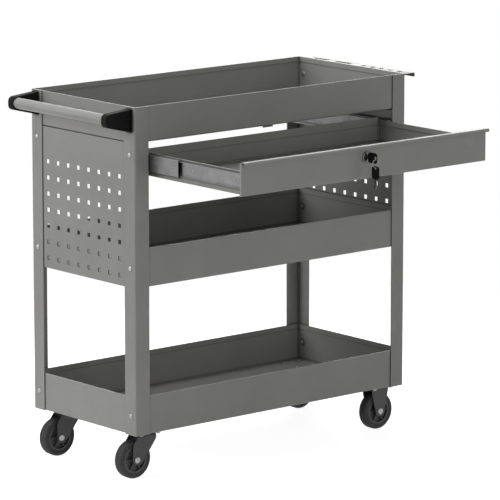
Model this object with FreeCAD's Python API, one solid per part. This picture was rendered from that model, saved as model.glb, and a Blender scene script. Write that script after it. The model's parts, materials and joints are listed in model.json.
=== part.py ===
import FreeCAD, Part
import math
import os

# Three-tray steel utility cart with a locking drawer, perforated ends, a push handle and casters.
# Millimetres. X runs from the handle end to the tool-holder end, Y from the drawer side to the back,
# Z is up. The origin is on the floor, under the middle of the four corner posts.
# The drawer is modelled pulled out by drawer_open, with its lock unlocked.

V = FreeCAD.Vector
ALONG_X = V(1, 0, 0)
ALONG_Y = V(0, 1, 0)
ALONG_Z = V(0, 0, 1)
same_point = 1e-6

# Overall size
cart_length = 825.0
cart_depth = 385.0
cart_height = 870.0

# Corner posts, of equal steel angle
post_flange = 40.0
post_gauge = 2.0
post_bend = 2.0

# Trays, with a closed fold along every rim
tray_gauge = 1.2
tray_bend = 3.0
rim_round = 0.95
hem_height = 12.0
top_tray_depth = 82.0
middle_tray_base = 454.0
middle_tray_depth = 90.0
bottom_tray_depth = 90.0

# Perforated end panels
panel_gauge = 1.2
panel_flange = 14.0
panel_side_gap = 0.5
panel_bolt_drop = 28.0
peg_hole = 10.0
peg_pitch = 38.0
peg_columns = 8
peg_first_row = 24.0
peg_last_row = 64.0

# Push handle
handle_radius = 12.7
handle_wall = 1.6
handle_reach = 60.0
handle_drop = 25.0
handle_socket = 14.0
handle_fit = 0.05
bracket_width = 20.0
bracket_inset = 9.0
bracket_height = 54.0
bracket_drop = 4.0
bracket_boss = 14.2
bracket_round = 2.0
bracket_bolt_edge = 13.0
bracket_bolt_depth = 20.0
bracket_wall = 3.0
bracket_pocket = 4.0
bracket_rib = 2.5

# Tool holder
holder_gauge = 1.5
holder_bend = 1.5
holder_width = 38.0
holder_flange = 58.0
holder_lip = 10.0
holder_drop = 2.0
holder_margin = 8.0
driver_hole_radius = 7.0
driver_hole_count = 5
driver_hole_pitch = 32.0
driver_hole_start = -150.0
plier_slot_width = 12.0
plier_slot_length = 56.0
plier_slot_round = 5.8
plier_slot_count = 2
plier_slot_pitch = 80.0
plier_slot_start = 50.0

# Fasteners
bolt_radius = 3.0
bolt_clearance = 0.3
bolt_head_radius = 6.0
bolt_head_height = 2.6
bolt_head_edge = 0.9
bolt_crown_radius = 3.3
bolt_end = 1.5
nut_flats = 10.0
nut_height = 5.0
nut_thread_gap = 0.1

# Drawer
drawer_open = 322.0
drawer_depth = 355.0
drawer_side_height = 54.0
drawer_back_rise = 6.0
front_height = 77.0
front_drop = 5.5
front_side_gap = 2.0
front_bend = 1.0
pull_reach = 11.0
pull_turn = 7.0
front_return = 10.0
front_end_return = 4.0

# Drawer slides and the hangers that carry them. A share is how much of the drawer's travel a piece makes.
slide_length = 350.0
slide_height = 45.7
slide_width = 12.7
slide_gauge = 1.2
slide_bend = 0.5
slide_lip = 2.4
slide_race = 1.6
slide_set_back = 6.0
slide_above_floor = 31.8
outer_reach = 9.8
middle_back = 3.0
middle_reach = 11.2
inner_reach = 6.1
cage_gauge = 1.0
cage_gap = 0.3
cage_back_gap = 0.4
cage_reach = 5.0
cage_length = 100.0
cage_start = 124.0
middle_share = 1 / 3
hanger_gauge = 2.0
hanger_bend = 2.0
hanger_flange = 22.0
hanger_foot = 12.0
hanger_below_slide = 5.0
hanger_end_gap = 0.5

# Lock, key and hanging spare key
lock_drop = 27.5
bezel_radius = 12.0
bezel_height = 2.5
bezel_round = 1.5
barrel_radius = 9.5
barrel_length = 22.0
barrel_gap = 0.2
plug_radius = 7.0
plug_fit = 0.05
plug_proud = 0.8
plug_tail_radius = 4.0
plug_tail_length = 5.0
lock_nut_flats = 24.0
lock_nut_height = 4.0
lock_notch = 32.0
cam_gauge = 2.0
cam_reach = 30.0
cam_width = 14.0
cam_round = 6.3
cam_tip_round = 1.0
cam_gap = 0.3
cam_fit = 0.1
retainer_radius = 6.0
retainer_height = 1.7
strike_width = 30.0
strike_gauge = 1.5
strike_flange = 16.0
strike_gap = 1.0
strike_height = 7.0
key_gauge = 2.4
key_gap = 0.15
bow_width = 24.0
bow_length = 30.0
bow_round = 7.0
bow_stand_off = 5.0
blade_width = 8.0
blade_depth = 15.0
ring_radius = 9.0
ring_wire = 0.8
ring_gap = 0.35
ring_slot_height = 8.0
ring_slot_length = 7.0
ring_slot_round = 2.0
ring_slot_edge = 1.5
spare_hole_radius = 3.0
spare_hole_edge = 2.0
spare_hole_gap = 0.2
spare_blade = 20.0
key_cut_pitch = 4.4
key_cut_start = 4.0
key_cut_depths = (1.6, 2.4, 1.2, 2.0)

# Casters: two swivel ones at the handle end, two rigid ones at the other end
caster_height = 110.0
caster_plate = 68.0
caster_plate_gauge = 2.5
caster_plate_round = 6.0
caster_bolt_edge = 9.0
caster_inset_y = 50.0
swivel_inset_x = 59.0
rigid_inset_x = 44.0
swivel_trail = 31.0
wheel_radius = 45.0
wheel_width = 28.0
tread_round = 6.0
rim_radius = 32.0
rim_inner_radius = 28.0
rim_width = 23.0
web_width = 7.0
hub_radius = 10.0
hub_side_gap = 0.5
hub_rib_count = 6
hub_rib_width = 2.4
hub_rib_inset = 1.5
hub_rib_root = 1.0
axle_radius = 4.0
axle_fit = 0.05
axle_head_radius = 7.5
axle_head_height = 2.5
axle_head_chamfer = 1.2
fork_gauge = 2.5
fork_bend = 2.5
fork_inner_width = 31.0
fork_crown_half = 25.0
fork_crown_drop = 12.0
fork_eye = 12.0
fork_eye_round = 9.6
fork_shoulder_round = 6.0
race_radius = 20.0
race_height = 6.0
race_gap = 0.3
race_chamfer = 2.5
kingpin_radius = 5.0
kingpin_fit = 0.05
kingpin_head_radius = 9.0
kingpin_head_height = 3.0
kingpin_head_chamfer = 1.4

# Worked out from the sizes above
half_l = cart_length / 2
half_d = cart_depth / 2
top_tray_base = cart_height - top_tray_depth
bottom_tray_base = caster_height
tray_length = cart_length - 2 * post_gauge
tray_width = cart_depth - 2 * post_gauge
bolt_y = half_d - post_flange / 2
front_y = -half_d - drawer_open
front_top = top_tray_base - front_drop
front_base = front_top - front_height
drawer_base = front_base + tray_gauge
drawer_width = cart_length - 2 * (post_flange + slide_width)
peg_span = top_tray_base - middle_tray_base - peg_first_row - peg_last_row
peg_rows = int(peg_span / peg_pitch) + 1
slide_z = drawer_base + slide_above_floor
slide_x = -half_l + post_flange
outer_cage_share = middle_share / 2
inner_cage_share = (1 + middle_share) / 2
lock_z = front_top - lock_drop
cam_y = front_y + tray_gauge + barrel_length + cam_gap
tube_x = -half_l - handle_reach
tube_z = cart_height - handle_drop
plate_base = caster_height - caster_plate_gauge
crown_top = plate_base - race_height - race_gap


def corner_arc(before, corner, after, radius):
    """Start, middle and end of the arc that rounds one corner of an outline."""
    back = (before - corner).normalize()
    ahead = (after - corner).normalize()
    half_angle = back.getAngle(ahead) / 2
    reach = radius / math.tan(half_angle)
    centre = corner + (back + ahead).normalize() * (radius / math.sin(half_angle))
    middle = centre + (corner - centre).normalize() * radius
    return corner + back * reach, middle, corner + ahead * reach


def outline(points, radii):
    """Closed wire of straight runs, each corner rounded by its radius or sharp where that is 0."""
    count = len(points)
    edges = []
    stops = []
    for i, point in enumerate(points):
        if radii[i] > 0:
            start, middle, end = corner_arc(points[i - 1], point, points[(i + 1) % count], radii[i])
            edges.append(Part.Arc(start, middle, end).toShape())
            stops.append((start, end))
        else:
            stops.append((point, point))
    for i in range(count):
        start = stops[i][1]
        end = stops[(i + 1) % count][0]
        if (end - start).Length > same_point:
            edges.append(Part.makeLine(start, end))
    return Part.Wire(Part.__sortEdges__(edges))


def prism(points, radii, sweep):
    """Solid with a rounded outline, extruded along sweep."""
    return Part.Face(outline(points, radii)).extrude(sweep)


def at_x(x, pairs):
    return [V(x, y, z) for y, z in pairs]


def at_y(y, pairs):
    return [V(x, y, z) for x, z in pairs]


def at_z(z, pairs):
    return [V(x, y, z) for x, y in pairs]


def folded(path, gauge, bend, sweep):
    """Folded sheet: an open path of points, as thick as gauge on its left, extruded along sweep."""
    normal = V(sweep).normalize()
    runs = [(path[i + 1] - path[i]).normalize() for i in range(len(path) - 1)]
    lefts = [normal.cross(run) for run in runs]
    inner = [path[0] + lefts[0] * gauge]
    path_radii = [0]
    inner_radii = [0]
    for i in range(1, len(path) - 1):
        mitre = (lefts[i - 1] + lefts[i]).normalize()
        inner.append(path[i] + mitre * (gauge / mitre.dot(lefts[i])))
        turns_left = runs[i - 1].cross(runs[i]).dot(normal) > 0
        path_radii.append(bend + gauge if turns_left else bend)
        inner_radii.append(bend if turns_left else bend + gauge)
    inner.append(path[-1] + lefts[-1] * gauge)
    path_radii.append(0)
    inner_radii.append(0)
    return prism(path + inner[::-1], path_radii + inner_radii[::-1], sweep)


def rounded_block(length, width, base, top, radius, centre=V(0, 0, 0)):
    """Upright block about a centre, with rounded upright edges."""
    x, y = length / 2, width / 2
    corners = [(-x, -y), (x, -y), (x, y), (-x, y)]
    points = [centre + point for point in at_z(base, corners)]
    return prism(points, [radius] * 4, V(0, 0, top - base))


def tub(length, width, base, top, radius):
    """Block with rounded upright and lower edges: the outside or the inside of a pressed tray."""
    block = Part.makeBox(length, width, top - base, V(-length / 2, -width / 2, base))
    edges = [edge for edge in block.Edges if edge.BoundBox.ZMin < (base + top) / 2]
    return block.makeFillet(radius, edges)


def tray(length, width, base, height):
    """Open tray of one sheet, its rim folded over to the inside."""
    top = base + height
    outer = tub(length, width, base, top, tray_bend + tray_gauge)
    rim_edges = [edge for edge in outer.Edges if edge.BoundBox.ZMin > top - tray_gauge / 2]
    outer = outer.makeFillet(rim_round, rim_edges)
    inner = tub(length - 2 * tray_gauge, width - 2 * tray_gauge, base + tray_gauge, top - hem_height,
                tray_bend)
    mouth = rounded_block(length - 4 * tray_gauge, width - 4 * tray_gauge, top - 2 * hem_height,
                          top + tray_gauge, tray_bend - tray_gauge)
    return outer.cut(inner.fuse(mouth))


def turned(profile, rounds, base, axis):
    """Solid of revolution of (radius, height) points about an axis that starts at base."""
    points = [V(radius, 0, height) for radius, height in profile]
    solid = Part.Face(outline(points, rounds)).revolve(V(0, 0, 0), ALONG_Z, 360)
    solid.Placement = FreeCAD.Placement(base, FreeCAD.Rotation(ALONG_Z, axis))
    return solid


def rod(radius, length, base, axis):
    return Part.makeCylinder(radius, length, base, axis)


def hexagon(flats, height, bore, base, axis):
    """Hexagon nut whose seat lies at base and whose bore runs along axis."""
    corner = flats / math.sqrt(3)
    turns = [math.radians(60 * i) for i in range(6)]
    points = at_z(0, [(corner * math.cos(turn), corner * math.sin(turn)) for turn in turns])
    nut = prism(points, [0] * 6, V(0, 0, height)).cut(rod(bore, height, V(0, 0, 0), ALONG_Z))
    nut.Placement = FreeCAD.Placement(base, FreeCAD.Rotation(ALONG_Z, axis))
    return nut


def bolt(length, base, axis):
    """Low-headed bolt: the head's seat at base, the head towards axis, the shank the other way."""
    profile = [(0, bolt_head_height), (bolt_crown_radius, bolt_head_height),
               (bolt_head_radius, bolt_head_edge), (bolt_head_radius, 0), (bolt_radius, 0),
               (bolt_radius, -length), (0, -length)]
    return turned(profile, [0] * len(profile), base, axis)


def mirror_x(shape):
    return shape.mirror(V(0, 0, 0), ALONG_X)


def mirror_y(shape):
    return shape.mirror(V(0, 0, 0), ALONG_Y)


def group(solids):
    return Part.makeCompound(solids)


def post_bolt_stations():
    """Bolts along X through the posts: end, side, height, sheet outside the post and sheet inside it."""
    stations = []
    for end in (-1, 1):
        for side in (-1, 1):
            stations.append((end, side, bottom_tray_base + bottom_tray_depth / 2, 0, tray_gauge))
            stations.append((end, side, middle_tray_base + middle_tray_depth / 2, 0,
                             panel_gauge + tray_gauge))
            stations.append((end, side, top_tray_base - panel_bolt_drop, 0, panel_gauge))
    for side in (-1, 1):
        stations.append((1, side, top_tray_base + top_tray_depth / 2, holder_gauge, tray_gauge))
    return stations


def handle_bolt_heights():
    top = cart_height - bracket_drop - bracket_bolt_edge - bolt_radius
    return (top, top - (bracket_height - 2 * bracket_bolt_edge))


def handle_bolt_y():
    return half_d - bracket_inset - bracket_width / 2


def bolt_holes():
    """Clearance holes for every bolt that runs along X."""
    radius = bolt_radius + bolt_clearance
    length = 2 * post_flange
    holes = []
    for end, side, height, outside, inside in post_bolt_stations():
        holes.append(rod(radius, length, V(end * half_l - length / 2, side * bolt_y, height), ALONG_X))
    for side in (-1, 1):
        for height in handle_bolt_heights():
            base = V(-half_l - bracket_bolt_depth, side * handle_bolt_y(), height)
            holes.append(rod(radius, bracket_bolt_depth + post_flange, base, ALONG_X))
    return group(holes)


def caster_centres():
    """Plate centres by name: swivel casters at the handle end, rigid ones at the other."""
    y = half_d - caster_inset_y
    return {"front_left": V(-half_l + swivel_inset_x, -y, 0),
            "back_left": V(-half_l + swivel_inset_x, y, 0),
            "front_right": V(half_l - rigid_inset_x, -y, 0),
            "back_right": V(half_l - rigid_inset_x, y, 0)}


def caster_bolt_places():
    offset = caster_plate / 2 - caster_bolt_edge
    return [centre + V(i * offset, j * offset, 0)
            for centre in caster_centres().values() for i in (-1, 1) for j in (-1, 1)]


def caster_bolt_holes():
    radius = bolt_radius + bolt_clearance
    span = 4 * nut_height
    return group([rod(radius, span, place + V(0, 0, caster_height - span / 2), ALONG_Z)
                  for place in caster_bolt_places()])


def make_trays(parts, holes):
    parts["top_tray"] = tray(tray_length, tray_width, top_tray_base, top_tray_depth).cut(holes)
    parts["middle_tray"] = tray(tray_length - 2 * panel_gauge, tray_width, middle_tray_base,
                                middle_tray_depth).cut(holes)
    floor_tray = tray(tray_length, tray_width, bottom_tray_base, bottom_tray_depth)
    parts["bottom_tray"] = floor_tray.cut(holes).cut(caster_bolt_holes())


def make_posts(parts, holes):
    path = at_z(caster_height, [(-half_l, -half_d + post_flange), (-half_l, -half_d),
                                (-half_l + post_flange, -half_d)])
    post = folded(path, post_gauge, post_bend, V(0, 0, cart_height - caster_height))
    parts["post_front_left"] = post.cut(holes)
    parts["post_back_left"] = mirror_y(post).cut(holes)
    parts["post_front_right"] = mirror_x(post).cut(holes)
    parts["post_back_right"] = mirror_x(mirror_y(post)).cut(holes)


def peg_holes(x):
    """Square holes through the panel whose outer face lies at x."""
    first_y = -peg_pitch * (peg_columns - 1) / 2
    first_z = middle_tray_base + peg_first_row
    reach = 2 * panel_gauge
    return group([Part.makeBox(2 * reach, peg_hole, peg_hole,
                               V(x - reach, first_y + column * peg_pitch - peg_hole / 2,
                                 first_z + row * peg_pitch - peg_hole / 2))
                  for row in range(peg_rows) for column in range(peg_columns)])


def make_panels(parts, holes):
    x = -half_l + post_gauge
    y = half_d - post_gauge - post_bend - panel_side_gap
    path = at_y(-y, [(x, middle_tray_base), (x, top_tray_base), (x + panel_flange, top_tray_base)])
    panel = folded(path, panel_gauge, panel_gauge, V(0, 2 * y, 0)).cut(peg_holes(x))
    parts["peg_panel_left"] = panel.cut(holes)
    parts["peg_panel_right"] = mirror_x(panel).cut(holes)


def bracket_pockets(y, base, top):
    """Moulded recesses in the outer side of the front bracket, with a rib between them."""
    near = -half_l - bracket_wall
    far = tube_x + bracket_boss
    fall = (tube_z - bracket_boss - base) / (handle_reach + bracket_boss)
    rise = (top - tube_z - bracket_boss) / (handle_reach + bracket_boss)
    low = [(x, base + fall * (-half_l - x) + bracket_wall) for x in (near, far)]
    high = [(x, top - rise * (-half_l - x) - bracket_wall) for x in (far, near)]
    recess = prism(at_y(y, low + high), [bracket_round] * 4, V(0, bracket_pocket, 0))
    rib = Part.makeBox(near - far, bracket_pocket, bracket_rib, V(far, y, tube_z - bracket_rib / 2))
    return recess.cut(rib)


def make_handle(parts, holes):
    top = cart_height - bracket_drop
    base = top - bracket_height
    far = tube_x - bracket_boss
    y = -half_d + bracket_inset
    points = at_y(y, [(-half_l, base), (far, tube_z - bracket_boss), (far, tube_z + bracket_boss),
                      (-half_l, top)])
    wedge = prism(points, [0, bracket_boss - bracket_round, bracket_boss - bracket_round, 0],
                  V(0, bracket_width, 0))
    edges = [edge for edge in wedge.Edges
             if edge.BoundBox.YLength < bracket_round and edge.BoundBox.XMin < -half_l - bracket_round]
    wedge = wedge.makeFillet(bracket_round, edges).cut(bracket_pockets(y, base, top))
    socket_y = y + bracket_width - handle_socket
    bracket = wedge.cut(rod(handle_radius + handle_fit, handle_socket, V(tube_x, socket_y, tube_z), ALONG_Y))
    parts["handle_bracket_front"] = bracket.cut(holes)
    parts["handle_bracket_back"] = mirror_y(bracket).cut(holes)
    start = V(tube_x, socket_y, tube_z)
    tube = rod(handle_radius, -2 * socket_y, start, ALONG_Y)
    parts["handle_tube"] = tube.cut(rod(handle_radius - handle_wall, -2 * socket_y, start, ALONG_Y))


def holder_cuts(x, z):
    """Round holes and long slots in one row along the plate."""
    cuts = []
    for i in range(driver_hole_count):
        y = driver_hole_start + i * driver_hole_pitch
        cuts.append(rod(driver_hole_radius, 4 * holder_gauge, V(x, y, z - 2 * holder_gauge), ALONG_Z))
    for i in range(plier_slot_count):
        centre = V(x, plier_slot_start + i * plier_slot_pitch, 0)
        cuts.append(rounded_block(plier_slot_width, plier_slot_length, z - 2 * holder_gauge,
                                  z + 2 * holder_gauge, plier_slot_round, centre))
    return group(cuts)


def make_holder(parts, holes):
    top = cart_height - holder_drop
    y = half_d - holder_margin
    path = at_y(-y, [(half_l, top - holder_flange), (half_l, top), (half_l + holder_width, top),
                     (half_l + holder_width, top - holder_lip)])
    plate = folded(path, holder_gauge, holder_bend, V(0, 2 * y, 0))
    middle_x = half_l + (holder_width + holder_gauge) / 2
    parts["tool_holder"] = plate.cut(holder_cuts(middle_x, top)).cut(holes)


def make_hangers(parts):
    start = -half_d + post_gauge + hanger_end_gap
    foot = slide_z - slide_height / 2 - hanger_below_slide
    path = at_y(start, [(slide_x - hanger_flange, top_tray_base), (slide_x, top_tray_base),
                        (slide_x, foot), (slide_x - hanger_foot, foot)])
    hanger = folded(path, hanger_gauge, hanger_bend, V(0, -2 * start, 0))
    parts["slide_hanger_left"] = hanger
    parts["slide_hanger_right"] = mirror_x(hanger)


def channel(back, reach, half_height, lip, gauge, start, length):
    """Channel section of a slide, open away from the hanger, with its lips turned in."""
    pairs = [(reach, half_height - lip), (reach, half_height), (back, half_height)]
    if lip == 0:
        pairs = pairs[1:]
    lower = [(slide_x + u, slide_z - v) for u, v in pairs]
    upper = [(slide_x + u, slide_z + v) for u, v in pairs[::-1]]
    return folded(at_y(start, lower + upper), gauge, slide_bend, V(0, length, 0))


def make_slides(parts):
    closed_y = -half_d + slide_set_back
    outer_half = slide_height / 2
    middle_half = outer_half - slide_gauge - slide_race
    inner_half = middle_half - slide_gauge - slide_race
    outer = channel(0, outer_reach, outer_half, slide_lip, slide_gauge, closed_y, slide_length)
    middle = channel(middle_back, middle_reach, middle_half, slide_lip, slide_gauge,
                     closed_y - drawer_open * middle_share, slide_length)
    lower = [(slide_x + inner_reach, slide_z + inner_half), (slide_x + slide_width, slide_z + inner_half)]
    upper = [(slide_x + slide_width, slide_z - inner_half), (slide_x + inner_reach, slide_z - inner_half)]
    inner = folded(at_y(closed_y - drawer_open, lower + upper), slide_gauge, slide_bend,
                   V(0, slide_length, 0))
    outer_cage = channel(slide_gauge + cage_back_gap, slide_gauge + cage_back_gap + cage_reach,
                         outer_half - slide_gauge - cage_gap, 0, cage_gauge,
                         closed_y + cage_start - drawer_open * outer_cage_share, cage_length)
    inner_cage_back = middle_back + slide_gauge + cage_back_gap
    inner_cage = channel(inner_cage_back, inner_cage_back + cage_reach,
                         middle_half - slide_gauge - cage_gap, 0, cage_gauge,
                         closed_y + cage_start - drawer_open * inner_cage_share, cage_length)
    for name, shape in (("slide_outer", outer), ("slide_middle", middle), ("slide_inner", inner)):
        parts[name + "_left"] = shape
        parts[name + "_right"] = mirror_x(shape)
    parts["ball_cages_outer"] = group([outer_cage, mirror_x(outer_cage)])
    parts["ball_cages_inner"] = group([inner_cage, mirror_x(inner_cage)])


def make_drawer(parts):
    box = tray(drawer_width, drawer_depth, drawer_base, drawer_side_height)
    box.translate(V(0, front_y + tray_gauge + drawer_depth / 2, 0))
    back_y = front_y + tray_gauge + drawer_depth
    side_top = drawer_base + drawer_side_height
    riser_length = drawer_width - 2 * (tray_bend + tray_gauge)
    riser = Part.makeBox(riser_length, 2 * tray_gauge, drawer_back_rise + hem_height,
                         V(-riser_length / 2, back_y - 2 * tray_gauge, side_top - hem_height))
    notch = Part.makeBox(lock_notch, 6 * tray_gauge, drawer_side_height,
                         V(-lock_notch / 2, front_y, lock_z - lock_notch / 2))
    parts["drawer_box"] = box.fuse(riser).removeSplitter().cut(notch)

    half_front = half_l - post_flange - front_side_gap
    path = at_x(-half_front, [(front_y - pull_reach, front_top - pull_turn),
                              (front_y - pull_reach, front_top - tray_gauge),
                              (front_y, front_top - tray_gauge), (front_y, front_base),
                              (front_y + front_return, front_base)])
    front = folded(path, tray_gauge, front_bend, V(2 * half_front, 0, 0))
    hole = rod(barrel_radius + barrel_gap, 4 * tray_gauge, V(0, front_y - 2 * tray_gauge, lock_z), ALONG_Y)
    ends = [Part.makeBox(tray_gauge, front_end_return, front_height - 2 * front_bend - 2 * tray_gauge,
                         V(x, front_y + tray_gauge, front_base + front_bend + tray_gauge))
            for x in (-half_front, half_front - tray_gauge)]
    parts["drawer_front"] = front.cut(hole).fuse(ends).removeSplitter()


def make_lock(parts):
    seat = V(0, front_y, lock_z)
    body = turned([(bezel_radius, -bezel_height), (bezel_radius, 0), (barrel_radius, 0),
                   (barrel_radius, barrel_length + tray_gauge),
                   (plug_radius + plug_fit, barrel_length + tray_gauge),
                   (plug_radius + plug_fit, -bezel_height)],
                  [bezel_round, 0, 0, 0, 0, 0], seat, ALONG_Y)
    parts["lock_body"] = body
    parts["lock_nut"] = hexagon(lock_nut_flats, lock_nut_height, barrel_radius + nut_thread_gap,
                                seat + V(0, tray_gauge, 0), ALONG_Y)

    plug_end = cam_y - front_y - cam_gap
    plug = turned([(0, -bezel_height - plug_proud), (plug_radius, -bezel_height - plug_proud),
                   (plug_radius, plug_end), (plug_tail_radius, plug_end),
                   (plug_tail_radius, plug_end + plug_tail_length), (0, plug_end + plug_tail_length)],
                  [0] * 6, seat, ALONG_Y)
    keyway = Part.makeBox(key_gauge + 2 * key_gap, bezel_height + blade_depth + plug_proud + key_gap,
                          blade_width + 2 * key_gap,
                          seat + V(-key_gauge / 2 - key_gap, -bezel_height - plug_proud,
                                   -blade_width / 2 - key_gap))
    parts["lock_plug"] = plug.cut(keyway)

    cam_points = at_y(cam_y, [(-cam_width / 2, lock_z - cam_width / 2), (cam_reach, lock_z - cam_width / 2),
                              (cam_reach, lock_z + cam_width / 2), (-cam_width / 2, lock_z + cam_width / 2)])
    cam = prism(cam_points, [cam_round, cam_tip_round, cam_tip_round, cam_round], V(0, cam_gauge, 0))
    parts["lock_cam"] = cam.cut(rod(plug_tail_radius + cam_fit, cam_gauge, V(0, cam_y, lock_z), ALONG_Y))
    retainer = turned([(plug_tail_radius + cam_fit, 0), (retainer_radius, 0),
                       (retainer_radius, retainer_height), (plug_tail_radius + cam_fit, retainer_height)],
                      [0] * 4, V(0, cam_y + cam_gauge + cam_gap, lock_z), ALONG_Y)
    parts["cam_retainer"] = retainer

    strike_y = -half_d + (cam_y - front_y) - strike_gap
    strike_path = at_x(-strike_width / 2, [(strike_y - strike_gauge, top_tray_base - strike_height),
                                           (strike_y - strike_gauge, top_tray_base),
                                           (strike_y - strike_gauge + strike_flange, top_tray_base)])
    turned_back = folded(strike_path[::-1], strike_gauge, strike_gauge, V(strike_width, 0, 0))
    parts["lock_strike"] = turned_back


def key_plate(side, low, high, radius):
    """Flat upright plate across X, between two corners given as (y, z)."""
    corners = [(low[0], low[1]), (high[0], low[1]), (high[0], high[1]), (low[0], high[1])]
    return prism(at_x(side, corners), [radius] * 4, V(key_gauge, 0, 0))


def make_keys(parts):
    near = front_y - bow_stand_off
    far = near - bow_length
    side = -key_gauge / 2
    half = bow_width / 2
    bow = key_plate(side, (far, lock_z - half), (near, lock_z + half), bow_round)
    blade = Part.makeBox(key_gauge, bow_stand_off + bow_length / 2 + blade_depth, blade_width,
                         V(side, near - bow_length / 2, lock_z - blade_width / 2))
    slot_start = far + ring_slot_edge
    slot = key_plate(side, (slot_start, lock_z - ring_slot_height / 2),
                     (slot_start + ring_slot_length, lock_z + ring_slot_height / 2), ring_slot_round)
    parts["lock_key"] = bow.fuse(blade).removeSplitter().cut(slot)

    slot_y = slot_start + ring_slot_length / 2
    ring_z = lock_z - ring_slot_height / 2 + ring_gap + ring_wire - ring_radius
    parts["key_ring"] = Part.makeTorus(ring_radius, ring_wire, V(0, slot_y, ring_z), ALONG_Y)

    hole_top = ring_z - ring_radius + ring_wire + spare_hole_gap
    bow_top = hole_top + spare_hole_edge
    bow_base = bow_top - bow_length
    tip = bow_base - spare_blade
    spare_bow = key_plate(side, (slot_y - half, bow_base), (slot_y + half, bow_top), bow_round)
    spare_stem = Part.makeBox(key_gauge, blade_width, spare_blade + bow_length / 2,
                              V(side, slot_y - blade_width / 2, tip))
    cuts = [rod(spare_hole_radius, key_gauge, V(side, slot_y, hole_top - spare_hole_radius), ALONG_X)]
    edge = slot_y + blade_width / 2
    for i, depth in enumerate(key_cut_depths):
        middle = tip + key_cut_start + i * key_cut_pitch
        notch = at_x(side, [(edge, middle - key_cut_pitch / 2), (edge - depth, middle),
                            (edge, middle + key_cut_pitch / 2)])
        cuts.append(prism(notch, [0] * 3, V(key_gauge, 0, 0)))
    parts["spare_key"] = spare_bow.fuse(spare_stem).removeSplitter().cut(cuts)


def fork(axle_x, top):
    """Pressed fork: a folded strap over the wheel, trimmed to the fork's side view."""
    half_width = fork_inner_width / 2 + fork_gauge
    eye_base = wheel_radius - fork_eye
    reach = fork_crown_half + abs(axle_x) + fork_eye
    strap = folded(at_x(-reach, [(half_width, eye_base), (half_width, top), (-half_width, top),
                                 (-half_width, eye_base)]), fork_gauge, fork_bend, V(2 * reach, 0, 0))
    side = prism(at_y(-2 * half_width, [(-fork_crown_half, top), (fork_crown_half, top),
                                        (fork_crown_half, top - fork_crown_drop),
                                        (axle_x + fork_eye, eye_base), (axle_x - fork_eye, eye_base),
                                        (min(axle_x - fork_eye, -fork_crown_half),
                                         top - 2 * fork_crown_drop)]),
                 [0, 0, fork_shoulder_round, fork_eye_round, fork_eye_round, fork_shoulder_round],
                 V(0, 4 * half_width, 0))
    axle_hole = rod(axle_radius + axle_fit, 4 * half_width, V(axle_x, -2 * half_width, wheel_radius), ALONG_Y)
    return strap.common(side).cut(axle_hole)


def caster_top(centre):
    return rounded_block(caster_plate, caster_plate, plate_base, caster_height, caster_plate_round, centre)


def make_swivel_caster(parts, name, centre):
    ring = turned([(kingpin_radius, 0), (race_radius - race_chamfer, 0), (race_radius, race_chamfer),
                   (race_radius, race_height), (kingpin_radius, race_height)], [0] * 5,
                  centre + V(0, 0, plate_base - race_height), ALONG_Z)
    plate = caster_top(centre).cut(rod(kingpin_radius, caster_height, centre, ALONG_Z)).fuse(ring)
    parts["caster_plate_" + name] = plate.removeSplitter().cut(caster_bolt_holes())
    neck = caster_height - (crown_top - fork_gauge - race_gap)
    crown = kingpin_head_radius - kingpin_head_chamfer
    pin = turned([(0, -kingpin_head_height), (crown, -kingpin_head_height),
                  (kingpin_head_radius, kingpin_head_chamfer - kingpin_head_height),
                  (kingpin_head_radius, 0), (kingpin_radius, 0), (kingpin_radius, neck), (0, neck)],
                 [0] * 7, centre + V(0, 0, caster_height - neck), ALONG_Z)
    parts["kingpin_" + name] = pin
    yoke = fork(-swivel_trail, crown_top)
    yoke.translate(centre)
    bore = rod(kingpin_radius + kingpin_fit, caster_height, centre, ALONG_Z)
    parts["caster_fork_" + name] = yoke.cut(bore)
    make_wheel(parts, name, centre - V(swivel_trail, 0, 0))


def make_rigid_caster(parts, name, centre):
    yoke = fork(0, caster_height - caster_plate_gauge + fork_gauge)
    yoke.translate(centre)
    parts["caster_fork_" + name] = yoke.fuse(caster_top(centre)).removeSplitter().cut(caster_bolt_holes())
    make_wheel(parts, name, centre)


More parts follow.
